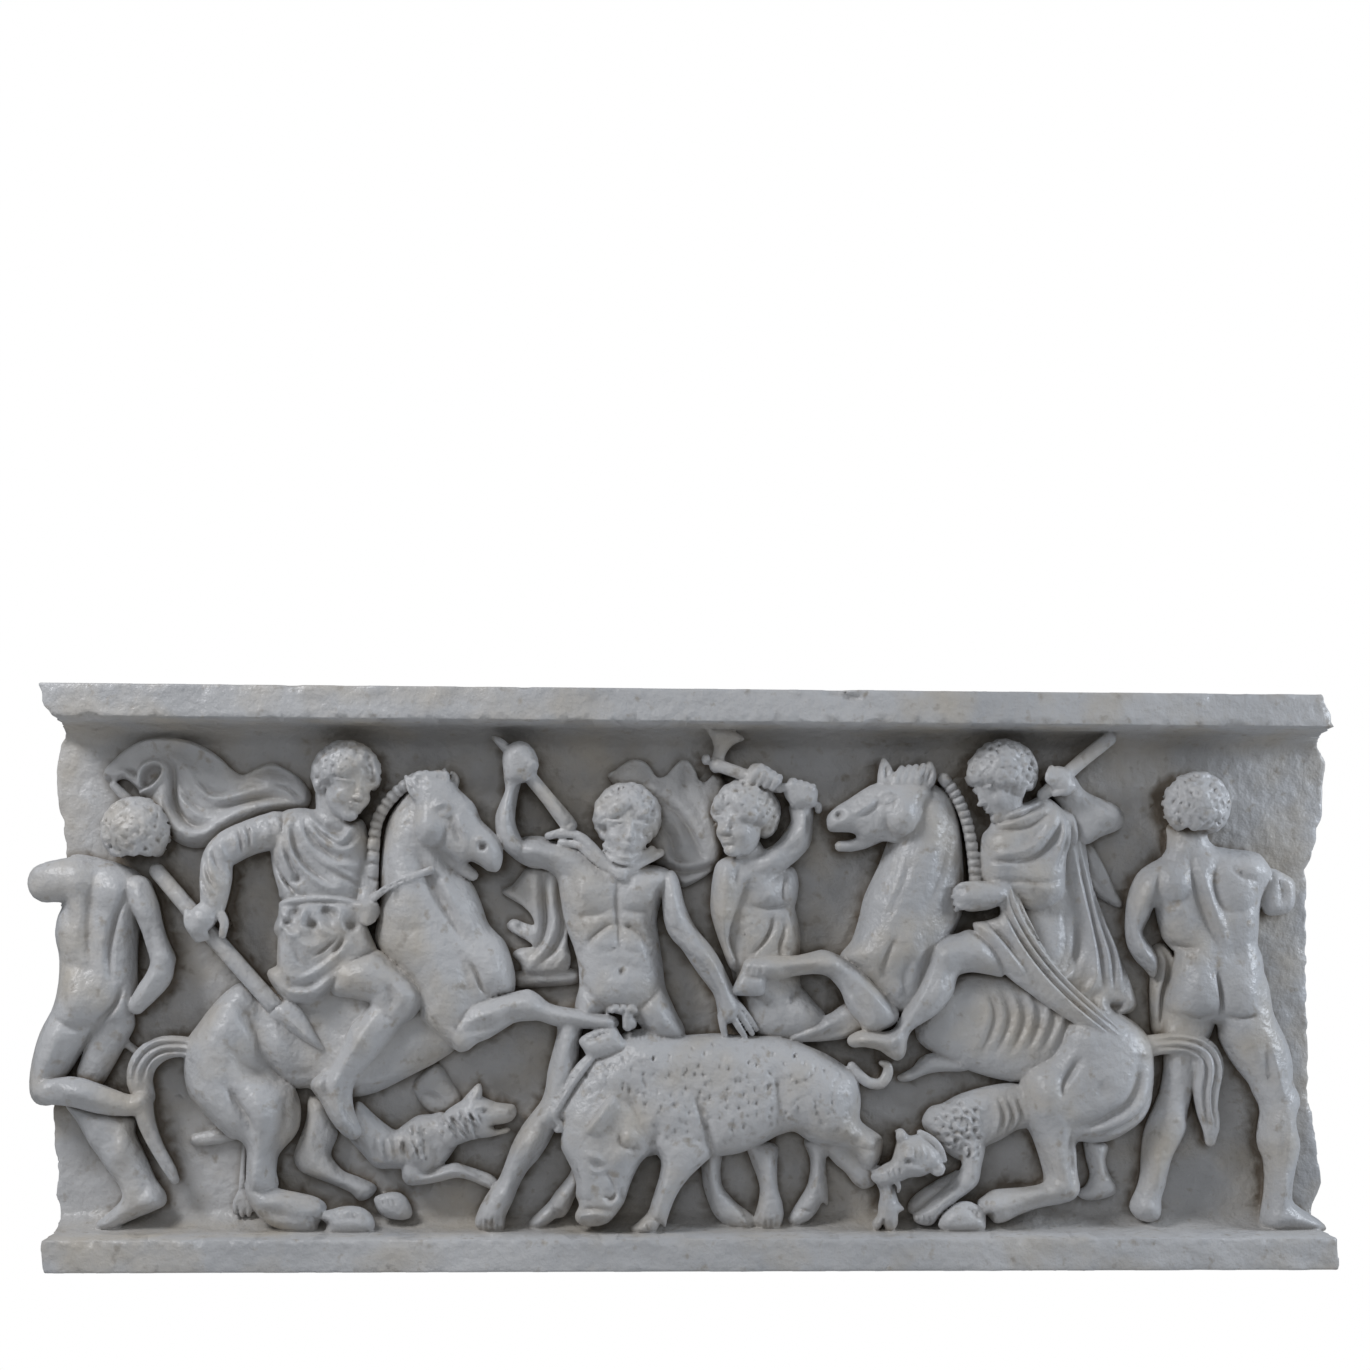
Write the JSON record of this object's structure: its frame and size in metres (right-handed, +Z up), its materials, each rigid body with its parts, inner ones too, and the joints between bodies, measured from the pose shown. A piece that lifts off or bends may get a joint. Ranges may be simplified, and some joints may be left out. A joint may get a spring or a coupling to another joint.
{
  "type": "marble relief plaque",
  "caption": "Carved marble wall panel in high relief: hunters on foot and on horseback, with dogs, close in on a boar between two plain flanges.",
  "frame": {"origin": "centre of the flat back face, where the panel meets the wall", "axes": "+X to the right as seen from the front, +Y into the wall, +Z up; the carving faces -Y"},
  "size_m": [1.628, 0.15, 0.72],
  "materials": {
    "marble": "semi-polished grey-white marble, with a brown patina in the deep cuts"
  },
  "bodies": {
    "root": {"relief_panel": "marble"}
  },
  "joints": []
}
